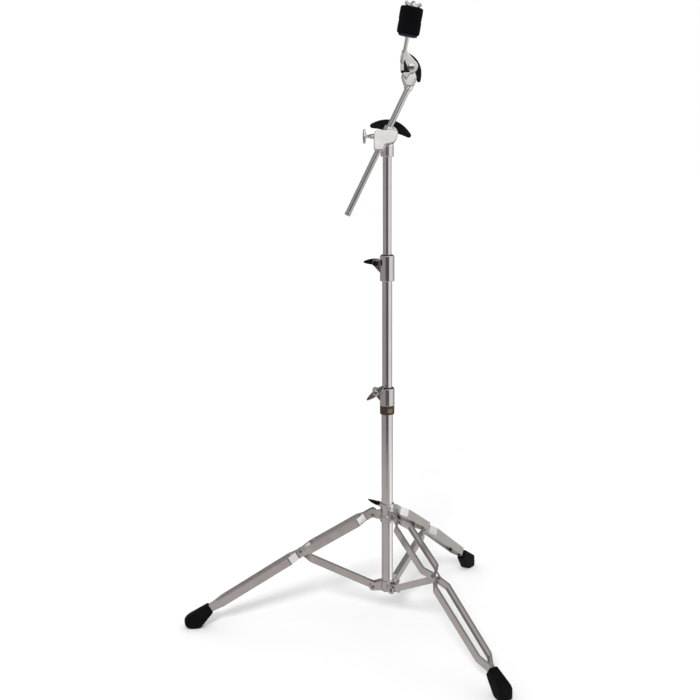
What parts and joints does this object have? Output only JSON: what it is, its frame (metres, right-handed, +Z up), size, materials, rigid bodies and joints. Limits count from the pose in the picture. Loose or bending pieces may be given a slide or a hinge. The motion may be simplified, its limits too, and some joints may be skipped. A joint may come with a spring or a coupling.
{
  "type": "cymbal boom stand",
  "caption": "Folding double-braced tripod stand with telescoping chrome tubes, a tilting boom arm and a felt-padded stem that holds a cymbal.",
  "frame": {"origin": "centre of the footprint's bounding box, on the floor", "axes": "+Z up, along the tubes; +X to the right of the viewer in front of the stand; one leg points along -X"},
  "size_m": [0.697, 0.8004, 1.3754],
  "materials": {
    "chrome": "polished chrome plate",
    "cast_chrome": "chrome-plated casting",
    "leg_steel": "chrome-plated pressed steel",
    "black_metal": "glossy black",
    "rubber": "matte moulded rubber",
    "felt": "pressed wool felt",
    "nylon": "moulded nylon",
    "label": "dark band with a plain gold panel"
  },
  "bodies": {
    "base": {"base_tube": "chrome", "lower_hub": "cast_chrome", "tube_end_plug": "nylon", "base_clamp_collar": "cast_chrome", "label_band": "label", "base_clamp_bush": "nylon", "base_clamp_nut": "cast_chrome", "left_hub_rivet": "chrome", "front_hub_rivet": "chrome", "back_hub_rivet": "chrome"},
    "base_clamp_bolt": {"base_clamp_wing_bolt": "cast_chrome"},
    "left_strut": {"left_strut": "leg_steel"},
    "left_leg": {"left_leg_strip_a": "leg_steel", "left_leg_strip_b": "leg_steel", "left_rubber_foot": "rubber", "left_joint_rivet": "chrome", "left_collar_rivet": "chrome"},
    "front_strut": {"front_strut": "leg_steel"},
    "front_leg": {"front_leg_strip_a": "leg_steel", "front_leg_strip_b": "leg_steel", "front_rubber_foot": "rubber", "front_joint_rivet": "chrome", "front_collar_rivet": "chrome"},
    "back_strut": {"back_strut": "leg_steel"},
    "back_leg": {"back_leg_strip_a": "leg_steel", "back_leg_strip_b": "leg_steel", "back_rubber_foot": "rubber", "back_joint_rivet": "chrome", "back_collar_rivet": "chrome"},
    "leg_collar": {"leg_collar": "cast_chrome"},
    "leg_collar_bolt": {"leg_collar_wing_bolt": "black_metal"},
    "middle_section": {"middle_tube": "chrome", "middle_clamp_collar": "cast_chrome", "middle_clamp_bush": "nylon", "middle_clamp_nut": "black_metal"},
    "middle_clamp_bolt": {"middle_clamp_wing_bolt": "black_metal"},
    "upper_section": {"upper_tube": "chrome"},
    "boom_base": {"boom_base": "cast_chrome", "boom_tilt_washer": "leg_steel"},
    "boom_clamp": {"boom_clamp": "cast_chrome", "boom_tilt_stud": "chrome"},
    "boom_tilt_nut": {"boom_tilt_wing_nut": "black_metal"},
    "boom_t_bolt": {"boom_clamp_t_bolt": "chrome"},
    "boom": {"boom_rod": "chrome", "boom_end_cap": "chrome", "cymbal_tilter_socket": "cast_chrome"},
    "cymbal_tilter": {"cymbal_tilter_head": "cast_chrome", "cymbal_tilter_wedge": "nylon", "cymbal_tilter_screw": "black_metal", "cymbal_tilt_bolt": "chrome", "cymbal_stem": "chrome", "cymbal_seat_washer": "nylon", "stem_sleeve": "nylon", "lower_felt": "felt", "upper_felt": "felt"},
    "cymbal_tilt_nut": {"cymbal_tilt_wing_nut": "black_metal"},
    "top_nut": {"top_wing_nut": "chrome"}
  },
  "joints": [
    {"name": "left_strut_fold", "type": "hinge", "parent": "base", "child": "left_strut", "pos_m": [0.07644, 0, 0.0955], "axis": [0, 1, 0], "range_deg": [-3, 48]},
    {"name": "left_leg_fold", "type": "hinge", "parent": "left_strut", "child": "left_leg", "pos_m": [-0.08606, 0, 0.17975], "axis": [0, 1, 0], "range_deg": [-96, 6]},
    {"name": "leg_collar_slide", "type": "hinge", "parent": "left_leg", "child": "leg_collar", "pos_m": [0.07644, 0, 0.264], "axis": [0, 1, 0], "range_deg": [-3, 48]},
    {"name": "front_strut_fold", "type": "hinge", "parent": "base", "child": "front_strut", "pos_m": [0.12519, -0.02815, 0.0955], "axis": [-0.866, -0.5, 0], "range_deg": [-3, 48]},
    {"name": "front_leg_fold", "type": "hinge", "parent": "front_strut", "child": "front_leg", "pos_m": [0.20644, -0.16887, 0.17975], "axis": [-0.866, -0.5, 0], "range_deg": [-96, 6]},
    {"name": "back_strut_fold", "type": "hinge", "parent": "base", "child": "back_strut", "pos_m": [0.12519, 0.02815, 0.0955], "axis": [0.866, -0.5, 0], "range_deg": [-3, 48]},
    {"name": "back_leg_fold", "type": "hinge", "parent": "back_strut", "child": "back_leg", "pos_m": [0.20644, 0.16887, 0.17975], "axis": [0.866, -0.5, 0], "range_deg": [-96, 6]},
    {"name": "leg_collar_bolt_turn", "type": "hinge", "parent": "leg_collar", "child": "leg_collar_bolt", "pos_m": [0.09694, 0.02079, 0.279], "axis": [-0.5, 0.866, 0], "continuous": true},
    {"name": "base_clamp_bolt_turn", "type": "hinge", "parent": "base", "child": "base_clamp_bolt", "pos_m": [0.08294, 0, 0.546], "axis": [0, 1, 0], "continuous": true},
    {"name": "middle_section_slide", "type": "slide", "parent": "base", "child": "middle_section", "axis": [0, 0, 1], "range_m": [-0.2, 0.07]},
    {"name": "middle_clamp_bolt_turn", "type": "hinge", "parent": "middle_section", "child": "middle_clamp_bolt", "pos_m": [0.08294, 0, 0.829], "axis": [0, 1, 0], "continuous": true},
    {"name": "upper_section_slide", "type": "slide", "parent": "middle_section", "child": "upper_section", "axis": [0, 0, 1], "range_m": [-0.2, 0.12]},
    {"name": "boom_swivel", "type": "hinge", "parent": "upper_section", "child": "boom_base", "pos_m": [0.10894, 0, 1.07], "axis": [0, 0, 1], "continuous": true},
    {"name": "boom_tilt", "type": "hinge", "parent": "boom_base", "child": "boom_clamp", "pos_m": [0.11494, 0, 1.104], "axis": [0, 1, 0], "range_deg": [-40, 60]},
    {"name": "boom_tilt_nut_turn", "type": "hinge", "parent": "boom_clamp", "child": "boom_tilt_nut", "pos_m": [0.11494, 0, 1.104], "axis": [0, 1, 0], "continuous": true},
    {"name": "boom_t_bolt_turn", "type": "hinge", "parent": "boom_clamp", "child": "boom_t_bolt", "pos_m": [0.07894, -0.026, 1.099], "axis": [1, 0, 0], "continuous": true},
    {"name": "boom_slide", "type": "slide", "parent": "boom_clamp", "child": "boom", "axis": [0.4381, 0, 0.8989], "range_m": [-0.05, 0.14]},
    {"name": "cymbal_tilt", "type": "hinge", "parent": "boom", "child": "cymbal_tilter", "pos_m": [0.15794, 0, 1.242], "axis": [0, 1, 0], "range_deg": [-30, 30]},
    {"name": "cymbal_tilt_nut_turn", "type": "hinge", "parent": "cymbal_tilter", "child": "cymbal_tilt_nut", "pos_m": [0.15794, 0, 1.242], "axis": [0, 1, 0], "continuous": true},
    {"name": "top_nut_turn", "type": "hinge", "parent": "cymbal_tilter", "child": "top_nut", "pos_m": [0.14054, -0.04, 1.252], "axis": [0.1788, 0, 0.9839], "continuous": true}
  ],
  "couplings": [
    {"joint": "left_leg_fold", "follows": "left_strut_fold", "ratio": -2},
    {"joint": "leg_collar_slide", "follows": "left_strut_fold", "ratio": 1},
    {"joint": "front_strut_fold", "follows": "left_strut_fold", "ratio": 1},
    {"joint": "front_leg_fold", "follows": "left_strut_fold", "ratio": -2},
    {"joint": "back_strut_fold", "follows": "left_strut_fold", "ratio": 1},
    {"joint": "back_leg_fold", "follows": "left_strut_fold", "ratio": -2}
  ]
}
